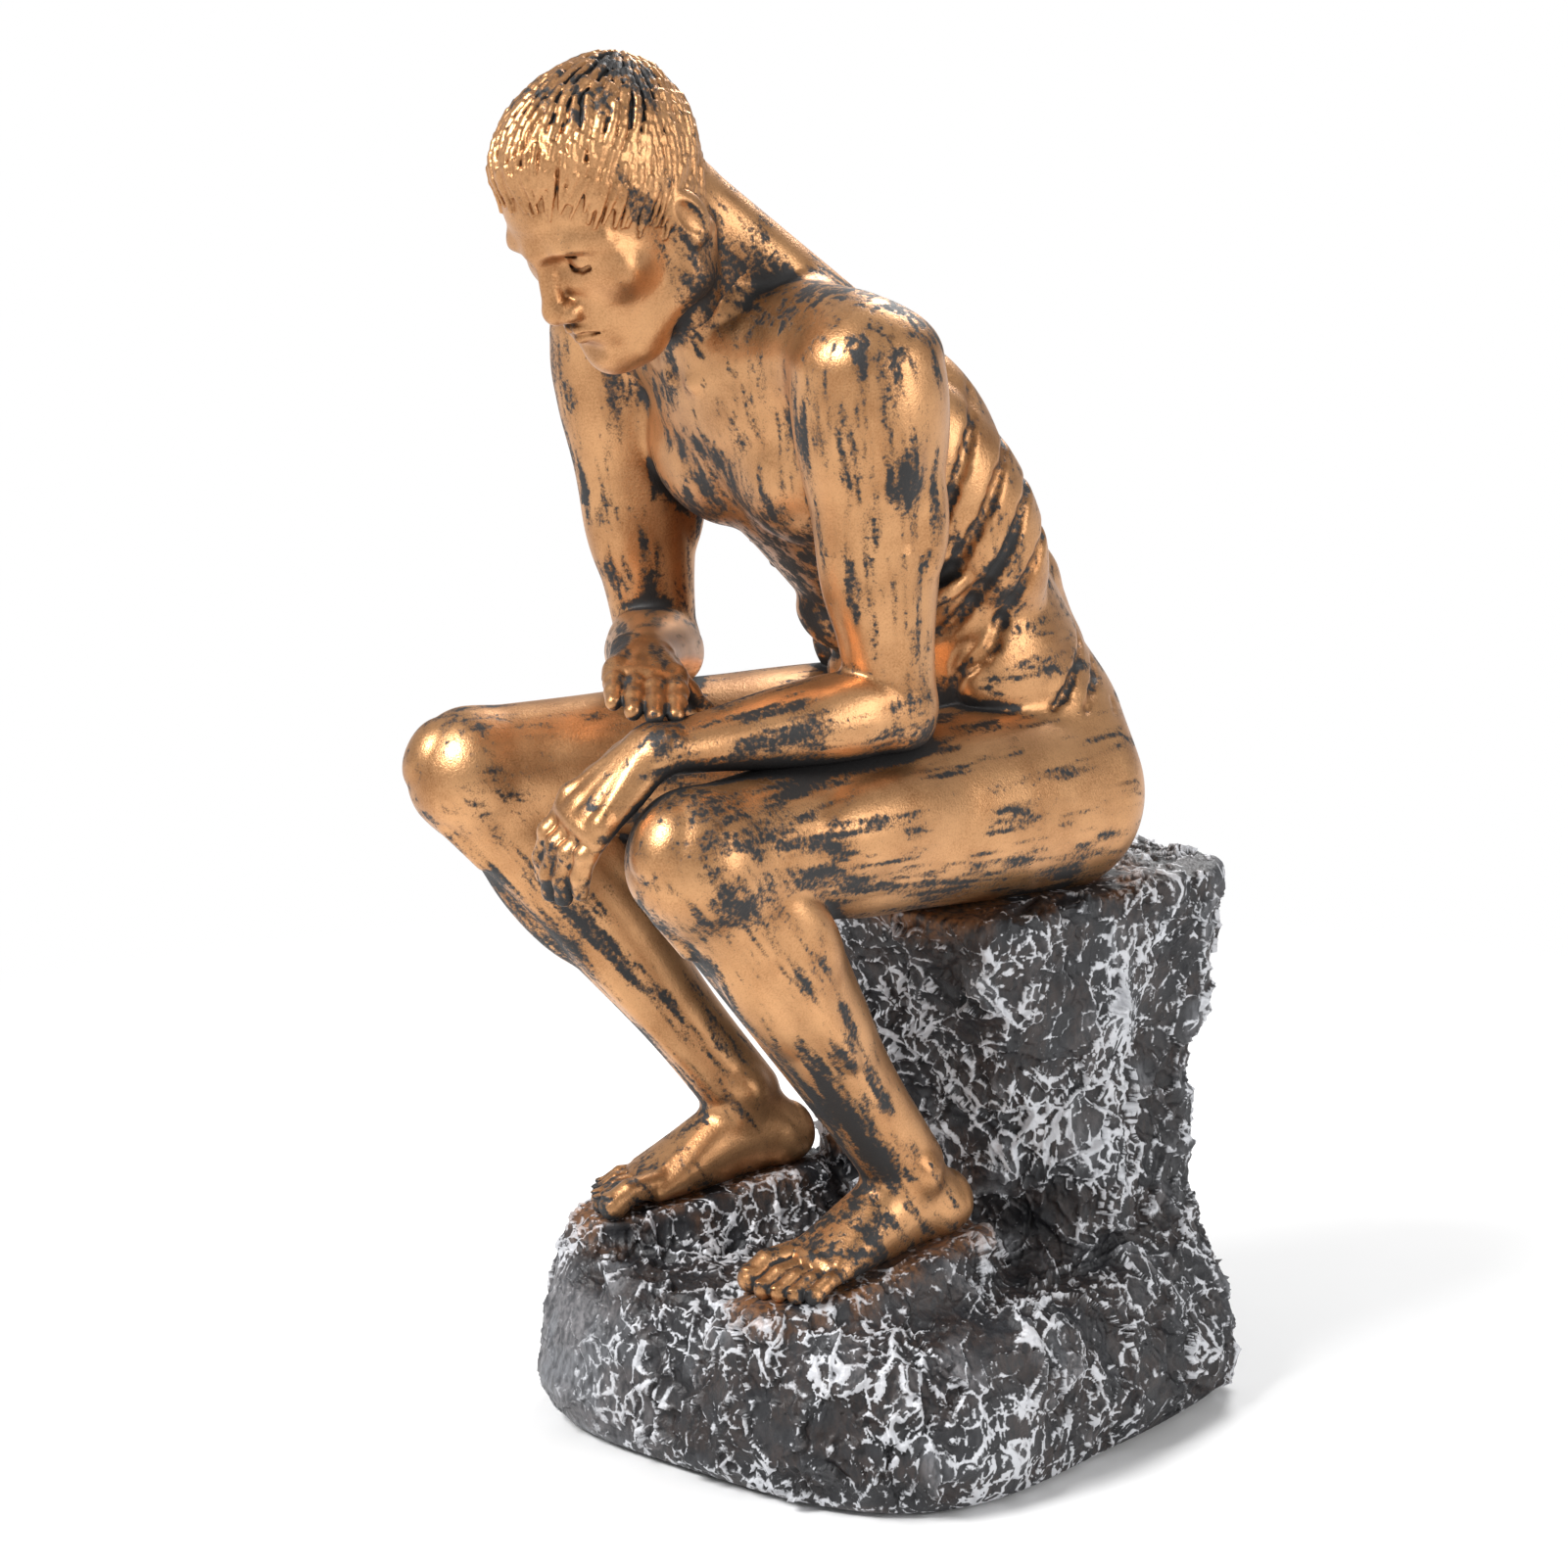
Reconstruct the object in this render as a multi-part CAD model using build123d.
"""Seated figure on a rock: a cast resin desk ornament, pinned together from separate castings.

Units are millimetres. +Z is up, and the origin is the middle of the rock's footprint, on the surface
that it stands on. The figure faces -Y, so its left side is +X.
"""

from build123d import *
from collections import namedtuple
from math import atan2, copysign, cos, hypot, pi, radians, sin
import os

# Rock: the plinth that the feet stand on, and the block that the figure sits on
PLINTH_HALF_WIDTH = 55.0
PLINTH_HALF_DEPTH = 57.0
PLINTH_TURN = 18.0  # degrees, how far the plinth is turned from the way the figure faces
BLOCK_TURN = 8.0  # degrees, the same for the block
LEDGE_HEIGHT = 31.0
LEDGE_SLOPE = 5.0  # how far the plinth draws in from its widest line up to the ledge
FOOT_DRAW_IN = 3.0  # how far it draws in below its widest line
WIDEST_HEIGHT = 9.0
SEAT_HEIGHT = 102.0
SEAT_HALF_WIDTH = 36.0
SEAT_FRONT = 18.0
SEAT_BACK = 59.0
WAIST_HEIGHT = 62.0
WAIST_DRAW_IN = 7.0  # how far the block's sides and back draw in at its waist
UNDERCUT = 25.0  # how far the block's front draws back below the seat, to clear the heels
STEP_MARGIN = 2.0  # rock that shows around the sole of each foot
STEP_DEPTH = 9.0  # how far each foot's step runs down into the plinth
STEP_HEADROOM = 30.0  # rock cleared above each sole
PLINTH_SQUARENESS = 3.4  # 2 is an ellipse, and more is squarer
BLOCK_SQUARENESS = 4.0
LUMP_HEIGHT = 2.2  # how far the rock's broad lumps stand out and in
LUMP_COUNTS = (5, 8)  # lumps around the rock, in two sets
LUMP_CLIMBS = (21.0, -16.0)  # height over which each set shifts round by a radian
LUMP_REACH = 9.0  # height above the felt over which the lumps grow to their full size
ROCK_POINTS = 24  # points in each of the rock's outlines
PLINTH_RINGS = (0.0, 0.35, 0.65, 1.0)  # outlines of the plinth, as shares from its widest line to the ledge
BLOCK_RINGS = (9.0, 20.0, 31.0, 46.0, 62.0, 75.0, 88.0, 102.0)  # heights of the block's outlines

# Underside: a hollow in the rock, its closing plate and a felt pad
ROCK_WALL = 9.0
FELT_THICKNESS = 1.0
FELT_INSET = 2.0
PLATE_THICKNESS = 3.0
PLATE_INSET = 6.0
PLATE_CLEARANCE = 0.3
HOLLOW_ROOF = 16.0  # resin left above the hollow, under the seat

# Figure: the lengths of its bones and where it sits
HIP_ABOVE_SEAT = 17.0
HIP_BACK = 25.0
HIP_SPREAD = 18.5
THIGH_LENGTH = 91.0
SHANK_LENGTH = 83.0
ANKLE_HEIGHT = 14.5
HEEL_LENGTH = 11.5
TOE_REACH = 34.0
TRUNK_LENGTH = 100.0
TRUNK_LEAN = 34.0  # degrees forward of upright
TRUNK_HUNCH = 6.0  # how far the spine curves back between hips and shoulders
SHOULDER_SPREAD = 37.0
SHOULDER_TWIST = 2.0  # how far the right shoulder is ahead of the middle, and the left one behind
UPPER_ARM_LENGTH = 61.0
FOREARM_LENGTH = 47.0
PALM_LENGTH = 17.0
NECK_LENGTH = 19.0
NECK_RISE = 5.0  # from the line of the shoulders to the root of the neck
HEAD_HEIGHT = 46.0
HEAD_BOW = 34.0  # degrees that the face looks down
HEAD_TURN = 8.0  # degrees that the face looks to the figure's left
HEAD_FORWARD = 4.0
HEAD_RISE = 15.0

# Joints between the castings, each a flat face with a steel dowel through it
ARM_JOINT = 0.52  # share of the upper arm above the joint
LEG_JOINT = 0.255  # share of the thigh behind the joint, so that its plane passes behind the heels
NECK_JOINT = 0.46  # share of the neck below the joint
LIMB_DOWEL_DIAMETER = 3.0
LIMB_DOWEL_LENGTH = 18.0
SEAT_DOWEL_DIAMETER = 5.0
SEAT_DOWEL_LENGTH = 26.0
SEAT_DOWEL_SPREAD = 13.0
SEAT_DOWEL_FORWARD = 5.0
FOOT_DOWEL_LENGTH = 13.0
DOWEL_CLEARANCE = 0.05

# Aims of the bones, as directions that need not have unit length
LEFT_THIGH_AIM = (0.22, -1.0, 0.02)
RIGHT_THIGH_AIM = (-0.28, -1.0, 0.02)
LEFT_SHANK_AIM = (-0.12, 0.60, -0.79)
RIGHT_SHANK_AIM = (0.24, 0.58, -0.80)
LEFT_FOOT_AIM = (0.05, -1.0, -0.14)
RIGHT_FOOT_AIM = (-0.12, -1.0, -0.12)
LEFT_UPPER_ARM_AIM = (-0.05, 0.13, -1.0)
RIGHT_UPPER_ARM_AIM = (0.0, 0.12, -1.0)
LEFT_FOREARM_AIM = (-0.08, -1.0, -0.07)
RIGHT_FOREARM_AIM = (0.82, -0.56, 0.14)
LEFT_HAND_AIM = (-0.22, -0.70, -0.68)
LEFT_HAND_BACK = (0.25, -0.65, 0.72)
RIGHT_HAND_AIM = (0.86, -0.50, -0.04)
RIGHT_HAND_BACK = (0.10, 0.10, 1.0)
NECK_AIM = (0.03, -0.70, 0.70)

# Flesh on the bones: share of the length, half width, half depth, shift to the front
STOUTNESS = 1.1  # how much thicker the trunk and limbs are than the tables below
TRUNK_FLESH = (
    (-0.17, 20.0, 10.0, 3.0),
    (0.00, 29.0, 19.5, -1.5),
    (0.20, 26.5, 18.5, -1.5),
    (0.40, 24.5, 17.5, -2.0),
    (0.60, 27.0, 19.0, -1.5),
    (0.78, 29.0, 19.5, -0.5),
    (0.92, 28.5, 16.5, -0.5),
    (1.03, 20.0, 12.0, -0.5),
    (1.10, 11.0, 9.5, 0.5),
)
THIGH_FLESH = (
    (-0.14, 9.0, 9.0, -0.5),
    (0.00, 17.0, 17.0, -0.5),
    (0.25, 16.2, 16.2, 0.0),
    (0.50, 14.6, 14.6, 0.0),
    (0.75, 12.2, 12.4, 0.0),
    (1.00, 10.6, 10.8, 0.0),
)
SHANK_FLESH = (
    (0.00, 10.0, 10.4, 0.0),
    (0.12, 9.4, 9.8, -0.4),
    (0.30, 10.2, 10.2, -2.0),
    (0.50, 8.8, 9.0, -1.6),
    (0.75, 6.2, 6.8, -0.4),
    (1.00, 5.8, 6.6, 0.0),
)
UPPER_ARM_FLESH = (
    (0.00, 11.4, 12.2, 0.0),
    (0.20, 11.2, 12.4, 0.0),
    (0.40, 9.4, 10.8, 0.2),
    (0.60, 8.2, 9.8, 0.4),
    (0.80, 7.2, 7.8, 0.2),
    (1.00, 7.0, 6.6, 0.0),
)
FOREARM_FLESH = (
    (0.00, 6.9, 6.6, 0.0),
    (0.22, 8.3, 7.0, 0.0),
    (0.48, 7.4, 6.3, 0.0),
    (0.78, 5.6, 4.6, 0.0),
    (1.00, 5.0, 3.7, 0.0),
)
NECK_FLESH = (
    (-0.30, 12.0, 11.0, 0.0),
    (0.30, 9.8, 9.8, 0.0),
    (0.70, 9.4, 9.8, 0.0),
    (1.20, 9.4, 10.5, 0.0),
)
# The head's shares run up its height from the chin
HEAD_FLESH = (
    (0.00, 5.5, 4.4, 11.6),
    (0.05, 8.0, 6.6, 10.0),
    (0.18, 10.8, 11.5, 5.6),
    (0.36, 13.0, 16.0, 1.8),
    (0.55, 14.2, 18.4, 0.0),
    (0.72, 14.4, 18.8, -0.6),
    (0.87, 12.2, 15.8, -0.8),
    (0.96, 8.0, 10.4, -0.8),
    (1.00, 2.6, 3.4, -0.8),
)
# The foot's flesh: distance ahead of the ankle, half width, half height, height of the middle
FOOT_FLESH = (
    (-HEEL_LENGTH, 3.2, 3.6, 4.6),
    (-HEEL_LENGTH + 3.0, 5.2, 6.0, 6.0),
    (0.0, 6.2, 8.6, 8.0),
    (9.0, 7.0, 7.2, 6.2),
    (17.0, 8.0, 5.2, 4.4),
    (TOE_REACH - 9.0, 8.2, 3.4, 3.0),
)
# Toes from the big one outwards: place across the foot, tip's distance short of the reach, radius
TOES = ((-5.4, 0.0, 2.8), (-1.4, 0.3, 2.0), (1.8, 1.6, 1.9), (4.7, 3.2, 1.8), (7.2, 5.2, 1.7))
# Fingers from the index: place across the palm, the three joints' lengths, radius at the root
FINGERS = (
    (5.4, (7.6, 4.8, 3.6), 2.1),
    (1.8, (8.4, 5.4, 3.8), 2.15),
    (-1.8, (7.8, 5.0, 3.7), 2.05),
    (-5.2, (6.2, 4.0, 3.2), 1.85),
)
LEFT_CURL = (14.0, 24.0, 18.0)  # degrees at each joint of the fingers, towards the palm
RIGHT_CURL = (2.0, 8.0, 8.0)
KNEE_RADIUS = 11.9
ELBOW_RADIUS = 7.8
SHOULDER_RADIUS = 12.8
YOKE_RADII = (10.0, 11.5, 13.0)  # at the shoulder, half way in, and at the neck
CHEST_RADII = (15.5, 8.5, 12.0)
BUTTOCK_RADII = (16.0, 15.0, 15.0)
SHOULDER_BLADE_RADII = (12.0, 6.5, 17.0)
SIDE_RADII = (9.0, 11.5, 26.0)  # the broad muscle down each side of the back
SPINE_RADII = (6.0, 7.0, 6.2)  # the muscle beside the spine, from the hips up
HAIR_RADII = (16.0, 20.5, 16.5)
HAIR_BACK = 3.0
NOSE_LENGTH = 8.5
NOSE_RADII = (1.5, 2.9)
EAR_RADII = (1.6, 3.4, 5.0)
SKULL_MIDDLE = 0.55  # share of the head's height at which it is widest

RING_POINTS = 12
FAR = 300.0
UP = Vector(0, 0, 1)
FORWARD = Vector(0, -1, 0)
LEFT, RIGHT = 1, -1

Bone = namedtuple("Bone", "start end along front out length hunch")


# Helpers

def make_bone(start, aim, length, front_hint, side=LEFT, hunch=0.0):
    """A straight bone with its own axes: along it, to the front of its flesh, and out to one side."""
    along = Vector(*aim).normalized()
    front = (front_hint - along * front_hint.dot(along)).normalized()
    out = along.cross(front)
    out = out * copysign(1.0, out.X * side)
    return Bone(start, start + along * length, along, front, out, length, hunch)


def on_bone(bone, share, out=0.0, front=0.0):
    """A point beside a bone. A hunched bone curves to its back between its ends."""
    front = front - bone.hunch * sin(pi * min(max(share, 0.0), 1.0))
    return bone.start + bone.along * (bone.length * share) + bone.out * out + bone.front * front


def ring(middle, across, ahead, half_across, half_ahead, squareness=2.0, count=RING_POINTS, lump=None):
    """A closed smooth outline round a middle point, in the plane of two unit vectors.

    A lump gives how far the outline stands out at each angle.
    """
    spots = []
    for step in range(count):
        turn = 2 * pi * step / count
        x = half_across * copysign(abs(cos(turn)) ** (2 / squareness), cos(turn))
        y = half_ahead * copysign(abs(sin(turn)) ** (2 / squareness), sin(turn))
        swell = 1 + lump(atan2(y, x)) / hypot(x, y) if lump else 1
        spots.append(middle + across * (x * swell) + ahead * (y * swell))
    return Wire([Edge.make_spline(spots, periodic=True)])


def flesh(bone, profile, squareness=2.2, stoutness=STOUTNESS):
    """A limb: rings along a bone, lofted into one skin."""
    rings = []
    for share, half_width, half_depth, shift in profile:
        middle = on_bone(bone, share, 0.0, shift)
        half_width, half_depth = half_width * stoutness, half_depth * stoutness
        rings.append(ring(middle, bone.out, bone.front, half_width, half_depth, squareness))
    return Solid.make_loft(rings)


def tube(points, radii, across_hint):
    """A round bent limb, such as a finger, through points with a radius at each."""
    rings = []
    for index, (point, radius) in enumerate(zip(points, radii)):
        before = points[max(index - 1, 0)]
        after = points[min(index + 1, len(points) - 1)]
        along = (after - before).normalized()
        across = (across_hint - along * across_hint.dot(along)).normalized()
        rings.append(ring(point, across, along.cross(across), radius, radius))
    return Solid.make_loft(rings)


def egg(middle, out, along, radii):
    """An ellipsoid with its radii along out, along x out and along."""
    return Plane(middle, x_dir=out, z_dir=along).location * scale(Solid.make_sphere(1.0), by=radii)


def beyond(point, along, out):
    """Everything on the far side of the plane through a point."""
    block = Box(FAR, FAR, FAR, align=(Align.CENTER, Align.CENTER, Align.MIN))
    return Plane(point, x_dir=out, z_dir=along).location * block


def dowel(middle, along, diameter, length):
    start = middle - along * (length / 2)
    return Solid.make_cylinder(diameter / 2, length, Plane(start, z_dir=along))


def bore_for(middle, along, diameter, length):
    return dowel(middle, along, diameter + 2 * DOWEL_CLEARANCE, length + 2 * DOWEL_CLEARANCE)


# Skeleton

hip_middle = Vector(0, HIP_BACK, SEAT_HEIGHT + HIP_ABOVE_SEAT)
lean = radians(TRUNK_LEAN)
trunk = make_bone(hip_middle, (0, -sin(lean), cos(lean)), TRUNK_LENGTH, FORWARD, hunch=TRUNK_HUNCH)


def leg_bones(side, thigh_aim, shank_aim):
    hip = hip_middle + Vector(side * HIP_SPREAD, 0, 0)
    thigh = make_bone(hip, thigh_aim, THIGH_LENGTH, UP, side)
    return thigh, make_bone(thigh.end, shank_aim, SHANK_LENGTH, FORWARD, side)


def arm_bones(side, upper_aim, fore_aim):
    shoulder = trunk.end + Vector(side * SHOULDER_SPREAD, side * SHOULDER_TWIST, 0)
    upper = make_bone(shoulder, upper_aim, UPPER_ARM_LENGTH, FORWARD, side)
    return upper, make_bone(upper.end, fore_aim, FOREARM_LENGTH, UP, side)


left_thigh, left_shank = leg_bones(LEFT, LEFT_THIGH_AIM, LEFT_SHANK_AIM)
right_thigh, right_shank = leg_bones(RIGHT, RIGHT_THIGH_AIM, RIGHT_SHANK_AIM)
left_upper_arm, left_forearm = arm_bones(LEFT, LEFT_UPPER_ARM_AIM, LEFT_FOREARM_AIM)
right_upper_arm, right_forearm = arm_bones(RIGHT, RIGHT_UPPER_ARM_AIM, RIGHT_FOREARM_AIM)
neck = make_bone(on_bone(trunk, 1 + NECK_RISE / TRUNK_LENGTH), NECK_AIM, NECK_LENGTH, FORWARD)

bow, turn_left = radians(HEAD_BOW), radians(HEAD_TURN)
face = Vector(sin(turn_left) * cos(bow), -cos(turn_left) * cos(bow), -sin(bow))
crown = Vector(sin(turn_left) * sin(bow), -cos(turn_left) * sin(bow), cos(bow))
head_middle = neck.end + crown * (HEAD_RISE - HEAD_HEIGHT * SKULL_MIDDLE) + face * HEAD_FORWARD
head = make_bone(head_middle, crown, HEAD_HEIGHT, face)


# Limbs as whole skins, before they are parted at their joints

def foot_axes(aim):
    along = Vector(*aim).normalized()
    up = (UP - along * UP.dot(along)).normalized()
    return along, up


def foot_skin(ankle, aim, side):
    """Heel, instep and toes, cut flat at the sole."""
    along, up = foot_axes(aim)
    out = along.cross(up) * copysign(1.0, along.cross(up).X * side)
    sole = ankle - up * ANKLE_HEIGHT
    rings = [
        ring(sole + along * ahead + up * height, out, up, half_width, half_height)
        for ahead, half_width, half_height, height in FOOT_FLESH
    ]
    skin = Solid.make_loft(rings)
    root = FOOT_FLESH[-1][0] - 4.0
    for across, short, radius in TOES:
        tip = TOE_REACH - short
        spots = [
            sole + along * root + out * (across * 0.8) + up * (radius + 0.9),
            sole + along * (tip - 4.5) + out * across + up * (radius + 0.7),
            sole + along * (tip - 1.0) + out * across + up * (radius * 0.8),
            sole + along * tip + out * across + up * (radius * 0.7),
        ]
        skin = skin + tube(spots, (radius, radius * 1.02, radius * 0.92, radius * 0.45), out)
    return skin - beyond(sole, up * -1, out)


def leg_skin(thigh, shank, foot_aim, side):
    knee = Solid.make_sphere(KNEE_RADIUS, Plane(thigh.end))
    return flesh(thigh, THIGH_FLESH) + knee + flesh(shank, SHANK_FLESH) + foot_skin(shank.end, foot_aim, side)


def hand_skin(wrist, aim, back_hint, side, curl):
    """A palm with four fingers curled towards it and a thumb beside it."""
    along = Vector(*aim).normalized()
    back_hint = Vector(*back_hint)
    back = (back_hint - along * back_hint.dot(along)).normalized()
    thumb_side = back.cross(along) * -side
    rings = [
        ring(wrist + along * (PALM_LENGTH * share), thumb_side, back, half_width, half_depth, 2.4)
        for share, half_width, half_depth in ((-0.12, 4.7, 3.5), (0.35, 6.4, 3.8), (1.0, 7.4, 2.9))
    ]
    skin = Solid.make_loft(rings)
    for across, lengths, radius in FINGERS:
        spot = wrist + along * (PALM_LENGTH * 0.82) + thumb_side * across
        spots, heading, bend = [spot], along, 0.0
        for length, angle in zip(lengths, curl):
            bend += radians(angle)
            heading = along * cos(bend) - back * sin(bend)
            spot = spot + heading * length
            spots.append(spot)
        spots.append(spot + heading * (radius * 0.6))
        shares = (1.0, 0.98, 0.9, 0.78, 0.35)
        skin = skin + tube(spots, [radius * share for share in shares], thumb_side)
    root = wrist + along * (PALM_LENGTH * 0.25) + thumb_side * 4.0 - back * 1.0
    heading = (along * 0.80 + thumb_side * 0.52 - back * 0.30).normalized()
    spots = [root, root + heading * 7.0, root + heading * 13.0 + along * 1.0, root + heading * 14.5 + along * 2.0]
    return skin + tube(spots, (3.2, 2.5, 2.0, 0.9), back)


def arm_skin(upper, fore, hand):
    shoulder = Solid.make_sphere(SHOULDER_RADIUS, Plane(upper.start))
    elbow = Solid.make_sphere(ELBOW_RADIUS, Plane(upper.end))
    return flesh(upper, UPPER_ARM_FLESH) + shoulder + elbow + flesh(fore, FOREARM_FLESH) + hand


def trunk_skin():
    """Pelvis, belly and chest, with the chest muscles, the shoulders and the seat."""
    skin = flesh(trunk, TRUNK_FLESH, 2.3)
    for side in (LEFT, RIGHT):
        out = trunk.out * side
        chest = on_bone(trunk, 0.76) + out * 13.5 + trunk.front * 14.5
        buttock = hip_middle + Vector(side * 13.0, 2.0, -1.0)
        skin = skin + egg(chest, out, trunk.along, CHEST_RADII)
        skin = skin + egg(buttock, Vector(side, 0, 0), UP, BUTTOCK_RADII)
        blade = on_bone(trunk, 0.71, side * 15.0, -15.0)
        flank = on_bone(trunk, 0.60, side * 24.0, -6.0)
        skin = skin + egg(blade, out, trunk.along, SHOULDER_BLADE_RADII)
        skin = skin + egg(flank, out, trunk.along, SIDE_RADII)
        spine = [on_bone(trunk, share, side * 7.0, -16.5) for share in (0.06, 0.30, 0.62)]
        skin = skin + tube(spine, SPINE_RADII, out)
    neck_root = on_bone(trunk, 0.99)
    yoke = [left_upper_arm.start, left_upper_arm.start * 0.5 + neck_root * 0.5, neck_root]
    yoke = yoke + [right_upper_arm.start * 0.5 + neck_root * 0.5, right_upper_arm.start]
    return skin + tube(yoke, YOKE_RADII + YOKE_RADII[1::-1], FORWARD)


def head_skin():
    """Skull, nose, ears and a cap of short hair, on the upper neck."""
    skin = flesh(head, HEAD_FLESH, stoutness=1.0)
    hair = egg(on_bone(head, 0.64, 0.0, -HAIR_BACK), head.out, head.along, HAIR_RADII)
    hair = hair - beyond(on_bone(head, 0.62, 0.0, 11.0), (head.front - head.along * 0.25).normalized(), head.out)
    skin = skin + hair
    brow = on_bone(head, 0.50, 0.0, 17.2)
    tip = brow - head.along * NOSE_LENGTH + head.front * 3.6
    nose = tube([brow, (brow + tip) * 0.5, tip - head.front * 1.2], (NOSE_RADII[0], 2.2, NOSE_RADII[1]), head.out)
    skin = skin + nose
    for side in (LEFT, RIGHT):
        skin = skin + egg(on_bone(head, 0.45, side * 14.0, -1.5), head.out, head.along, EAR_RADII)
    return skin + flesh(neck, NECK_FLESH)


# Rock

def between(value, places, results):
    """A result for a value between listed places, on straight lines."""
    for low, high, first, last in zip(places, places[1:], results, results[1:]):
        if value <= high:
            return first + (last - first) * (value - low) / (high - low)
    return results[-1]


def rock_lump(angle, height):
    """How far the rock's broad lumps stand out at an angle and a height."""
    waves = [sin(count * angle + height / climb) for count, climb in zip(LUMP_COUNTS, LUMP_CLIMBS)]
    return LUMP_HEIGHT * sum(waves) / 2 * min((height - FELT_THICKNESS) / LUMP_REACH, 1.0)


def rock_ring(height, left, right, front, back, turn, squareness, lumpy):
    """A squared outline at one height, with its own reach to each side of the origin."""
    middle = Vector((left - right) / 2, (back - front) / 2, height)
    across = Vector(1, 0, 0).rotate(Axis.Z, turn)
    ahead = Vector(0, 1, 0).rotate(Axis.Z, turn)
    halves = (left + right) / 2, (front + back) / 2
    if not lumpy:
        return ring(middle, across, ahead, *halves, squareness)
    return ring(middle, across, ahead, *halves, squareness, ROCK_POINTS, lambda angle: rock_lump(angle, height))


def plinth_ring(height, inset, lumpy=False):
    width, depth = PLINTH_HALF_WIDTH - inset, PLINTH_HALF_DEPTH - inset
    return rock_ring(height, width, width, depth, depth, PLINTH_TURN, PLINTH_SQUARENESS, lumpy)


def block_ring(height, inset, undercut, lumpy=False):
    width = SEAT_HALF_WIDTH - inset
    front, back = SEAT_FRONT - undercut, SEAT_BACK - inset
    return rock_ring(height, width + 2.0, width, front, back, BLOCK_TURN, BLOCK_SQUARENESS, lumpy)


def plinth_solid():
    rings = [plinth_ring(FELT_THICKNESS, FOOT_DRAW_IN, True)]
    for share in PLINTH_RINGS:
        height = WIDEST_HEIGHT + (LEDGE_HEIGHT - WIDEST_HEIGHT) * share
        rings.append(plinth_ring(height, LEDGE_SLOPE * share * share, True))
    return Solid.make_loft(rings)


def block_solid():
    heights = WIDEST_HEIGHT, LEDGE_HEIGHT, WAIST_HEIGHT, SEAT_HEIGHT
    rings = []
    for height in BLOCK_RINGS:
        inset = between(height, heights, (0.0, WAIST_DRAW_IN / 2, WAIST_DRAW_IN, 0.0))
        undercut = between(height, heights, (UNDERCUT, UNDERCUT, UNDERCUT * 0.75, 0.0))
        rings.append(block_ring(height, inset, undercut, True))
    return Solid.make_loft(rings)


def hollow_solid():
    """The hollow under the seat, which thins the casting."""
    front_inset = UNDERCUT + ROCK_WALL
    return Solid.make_loft([
        block_ring(FELT_THICKNESS, ROCK_WALL, front_inset),
        block_ring(SEAT_HEIGHT - HOLLOW_ROOF, WAIST_DRAW_IN + ROCK_WALL, front_inset),
    ])


def sole_ring(ankle, aim, rise, margin):
    """An outline round the sole of a foot, in the sole's own plane or above it."""
    along, up = foot_axes(aim)
    middle = ankle + up * (rise - ANKLE_HEIGHT) + along * ((TOE_REACH - HEEL_LENGTH) / 2)
    half_length = (TOE_REACH + HEEL_LENGTH) / 2 + margin
    half_width = FOOT_FLESH[-1][1] + margin
    return ring(middle, along.cross(up), along, half_width, half_length, 2.6)


def foot_step(ankle, aim):
    """The rock under one foot, from the sole down into the plinth."""
    drop = LEDGE_HEIGHT - STEP_DEPTH - (ankle.Z - ANKLE_HEIGHT)
    return Solid.make_loft([
        sole_ring(ankle, aim, drop, 2 * STEP_MARGIN),
        sole_ring(ankle, aim, 0.0, STEP_MARGIN),
    ])


def foot_room(ankle, aim):
    """The room above one sole, for the foot and the ankle."""
    return Solid.make_loft([
        sole_ring(ankle, aim, 0.0, STEP_MARGIN),
        sole_ring(ankle, aim, STEP_HEADROOM, STEP_MARGIN),
    ])


# Castings of the figure

def parted(whole, bone, share):
    """A limb beyond its joint, and the stub of it that stays on the trunk."""
    far_side = beyond(on_bone(bone, share), bone.along, bone.out)
    return whole & far_side, whole - far_side


block = block_solid()
below_seat = beyond(Vector(0, 0, SEAT_HEIGHT), UP * -1, FORWARD)
left_leg, left_thigh_stub = parted(
    leg_skin(left_thigh, left_shank, LEFT_FOOT_AIM, LEFT), left_thigh, LEG_JOINT)
right_leg, right_thigh_stub = parted(
    leg_skin(right_thigh, right_shank, RIGHT_FOOT_AIM, RIGHT), right_thigh, LEG_JOINT)
left_hand = hand_skin(left_forearm.end, LEFT_HAND_AIM, LEFT_HAND_BACK, LEFT, LEFT_CURL)
right_hand = hand_skin(right_forearm.end, RIGHT_HAND_AIM, RIGHT_HAND_BACK, RIGHT, RIGHT_CURL)
left_arm, left_arm_stub = parted(
    arm_skin(left_upper_arm, left_forearm, left_hand), left_upper_arm, ARM_JOINT)
right_arm, right_arm_stub = parted(
    arm_skin(right_upper_arm, right_forearm, right_hand), right_upper_arm, ARM_JOINT)
head_casting, neck_stub = parted(head_skin(), neck, NECK_JOINT)

torso = trunk_skin()
for stub in (left_thigh_stub, right_thigh_stub, left_arm_stub, right_arm_stub, neck_stub):
    torso = torso + stub
for limb in (left_leg, right_leg, left_arm, right_arm, head_casting, below_seat):
    torso = torso - limb
left_leg = left_leg - block
right_leg = right_leg - block
left_arm = left_arm - left_leg
right_arm = right_arm - right_leg - left_arm - left_leg


# Rock and its underside

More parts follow.
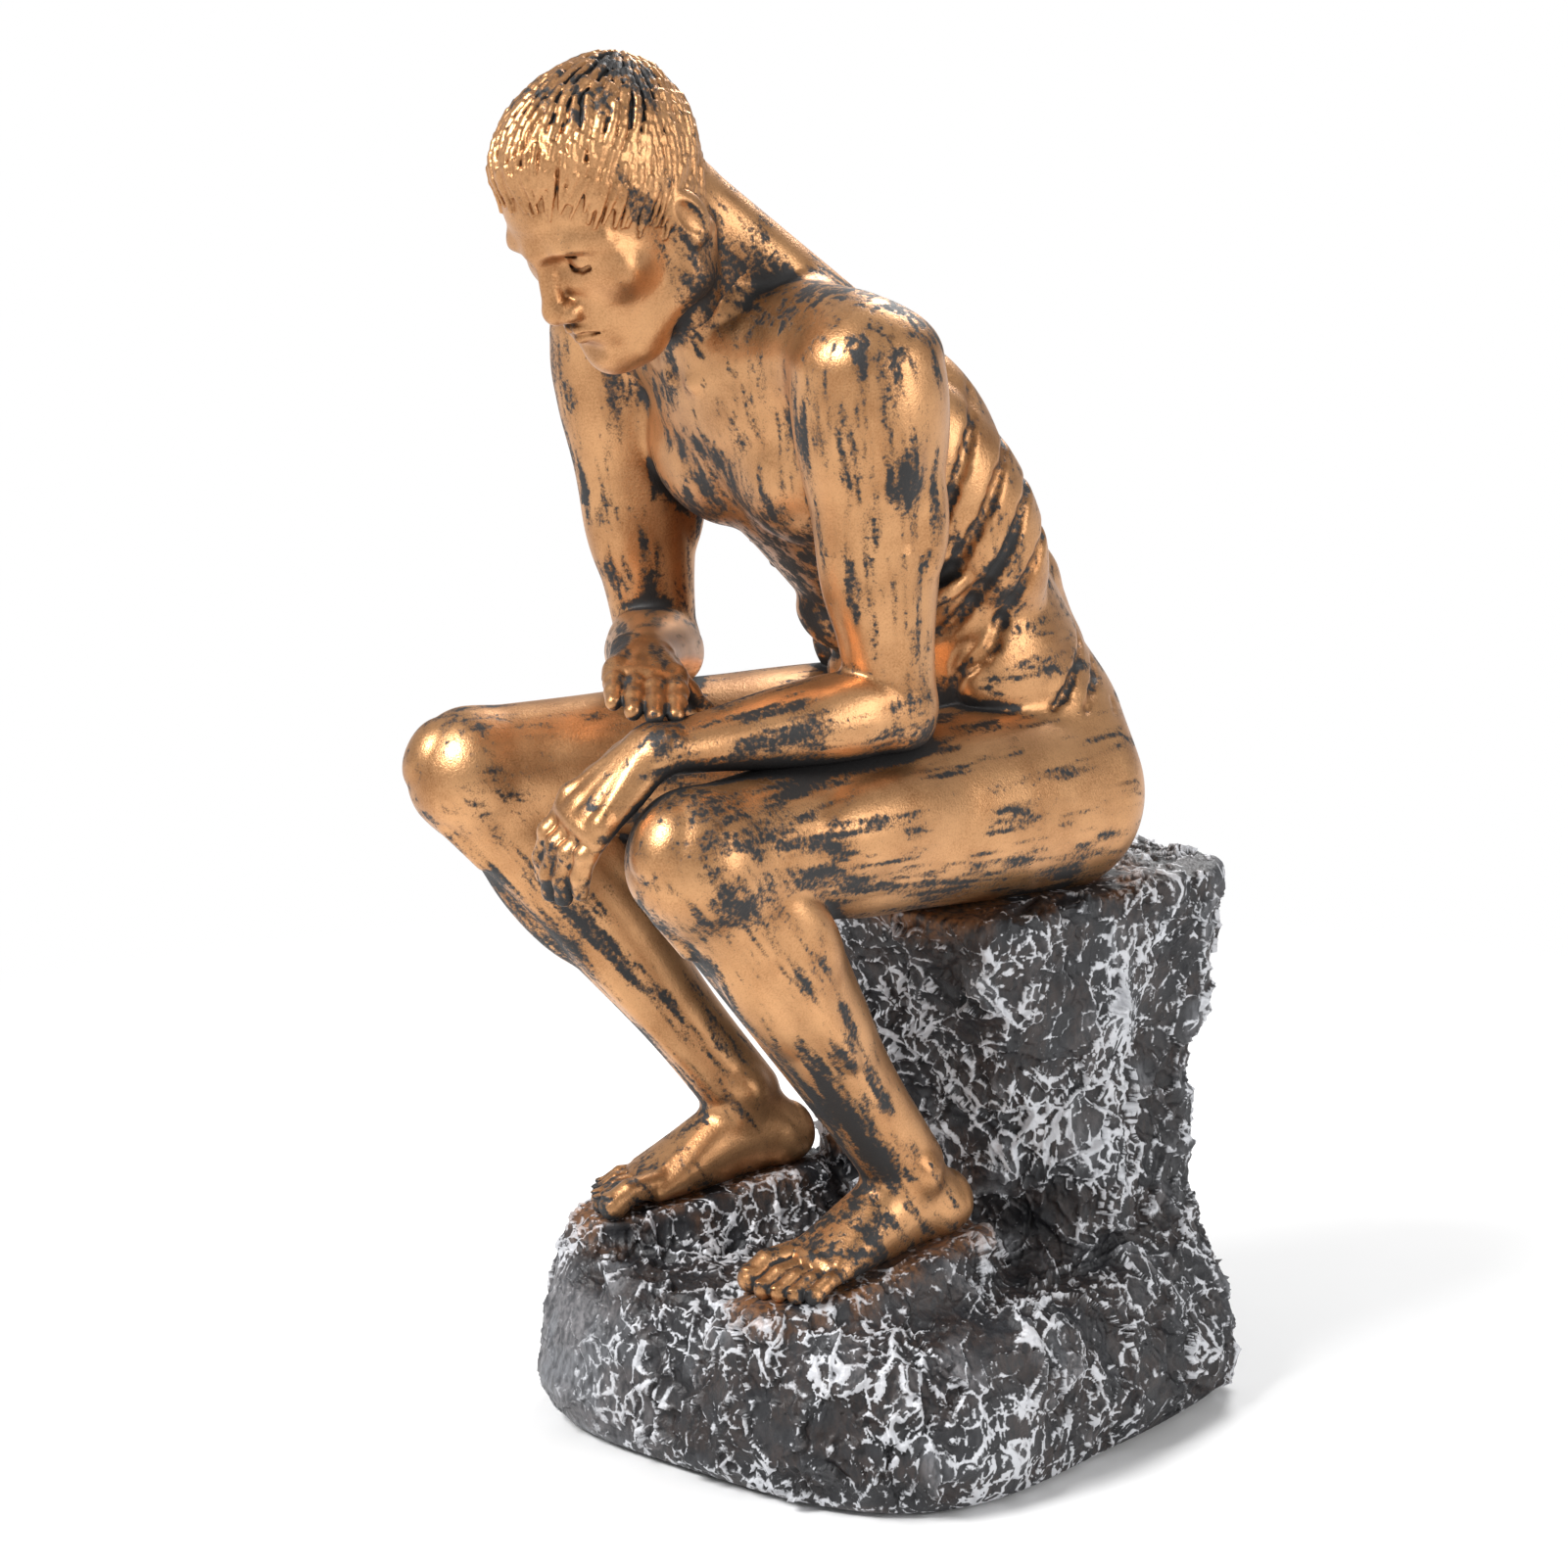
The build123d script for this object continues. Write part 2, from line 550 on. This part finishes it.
rock = plinth_solid() + block
for ankle, aim in ((left_shank.end, LEFT_FOOT_AIM), (right_shank.end, RIGHT_FOOT_AIM)):
    rock = rock - foot_room(ankle, aim) + foot_step(ankle, aim)
recess = Solid.make_loft([
    plinth_ring(FELT_THICKNESS, PLATE_INSET),
    plinth_ring(FELT_THICKNESS + PLATE_THICKNESS, PLATE_INSET),
])
rock = rock - hollow_solid() - recess
plate = Solid.make_loft([
    plinth_ring(FELT_THICKNESS, PLATE_INSET + PLATE_CLEARANCE),
    plinth_ring(FELT_THICKNESS + PLATE_THICKNESS, PLATE_INSET + PLATE_CLEARANCE),
])
felt = Solid.make_loft([
    plinth_ring(0.0, FOOT_DRAW_IN + FELT_INSET),
    plinth_ring(FELT_THICKNESS, FOOT_DRAW_IN + FELT_INSET),
])


# Dowels and their bores: middle, direction, diameter and length of each

seat_left = Vector(SEAT_DOWEL_SPREAD, HIP_BACK - SEAT_DOWEL_FORWARD, SEAT_HEIGHT)
seat_right = Vector(-SEAT_DOWEL_SPREAD, HIP_BACK - SEAT_DOWEL_FORWARD, SEAT_HEIGHT)


def sole_spot(ankle, aim):
    along, up = foot_axes(aim)
    return ankle - up * ANKLE_HEIGHT, up


def limb_pin(bone, share):
    return on_bone(bone, share), bone.along, LIMB_DOWEL_DIAMETER, LIMB_DOWEL_LENGTH


def foot_pin(ankle, aim):
    return *sole_spot(ankle, aim), LIMB_DOWEL_DIAMETER, FOOT_DOWEL_LENGTH


def seat_pin(spot):
    return spot, UP, SEAT_DOWEL_DIAMETER, SEAT_DOWEL_LENGTH


pins = {
    "neck_dowel": limb_pin(neck, NECK_JOINT),
    "left_arm_dowel": limb_pin(left_upper_arm, ARM_JOINT),
    "right_arm_dowel": limb_pin(right_upper_arm, ARM_JOINT),
    "left_thigh_dowel": limb_pin(left_thigh, LEG_JOINT),
    "right_thigh_dowel": limb_pin(right_thigh, LEG_JOINT),
    "left_seat_dowel": seat_pin(seat_left),
    "right_seat_dowel": seat_pin(seat_right),
    "left_foot_dowel": foot_pin(left_shank.end, LEFT_FOOT_AIM),
    "right_foot_dowel": foot_pin(right_shank.end, RIGHT_FOOT_AIM),
}
pinned = {
    "torso_casting": (torso, ("neck_dowel", "left_arm_dowel", "right_arm_dowel", "left_thigh_dowel",
                              "right_thigh_dowel", "left_seat_dowel", "right_seat_dowel")),
    "head_casting": (head_casting, ("neck_dowel",)),
    "left_arm_casting": (left_arm, ("left_arm_dowel",)),
    "right_arm_casting": (right_arm, ("right_arm_dowel",)),
    "left_leg_casting": (left_leg, ("left_thigh_dowel", "left_foot_dowel")),
    "right_leg_casting": (right_leg, ("right_thigh_dowel", "right_foot_dowel")),
    "rock_base": (rock, ("left_seat_dowel", "right_seat_dowel", "left_foot_dowel", "right_foot_dowel")),
}

nodes = {"base_plate": plate, "felt_pad": felt}
for name, (casting, held) in pinned.items():
    for pin in held:
        casting = casting - bore_for(*pins[pin])
    nodes[name] = casting
for name, pin in pins.items():
    nodes[name] = dowel(*pin)

os.makedirs("parts", exist_ok=True)
for name, shape in nodes.items():
    export_step(shape, f"parts/{name}.step")
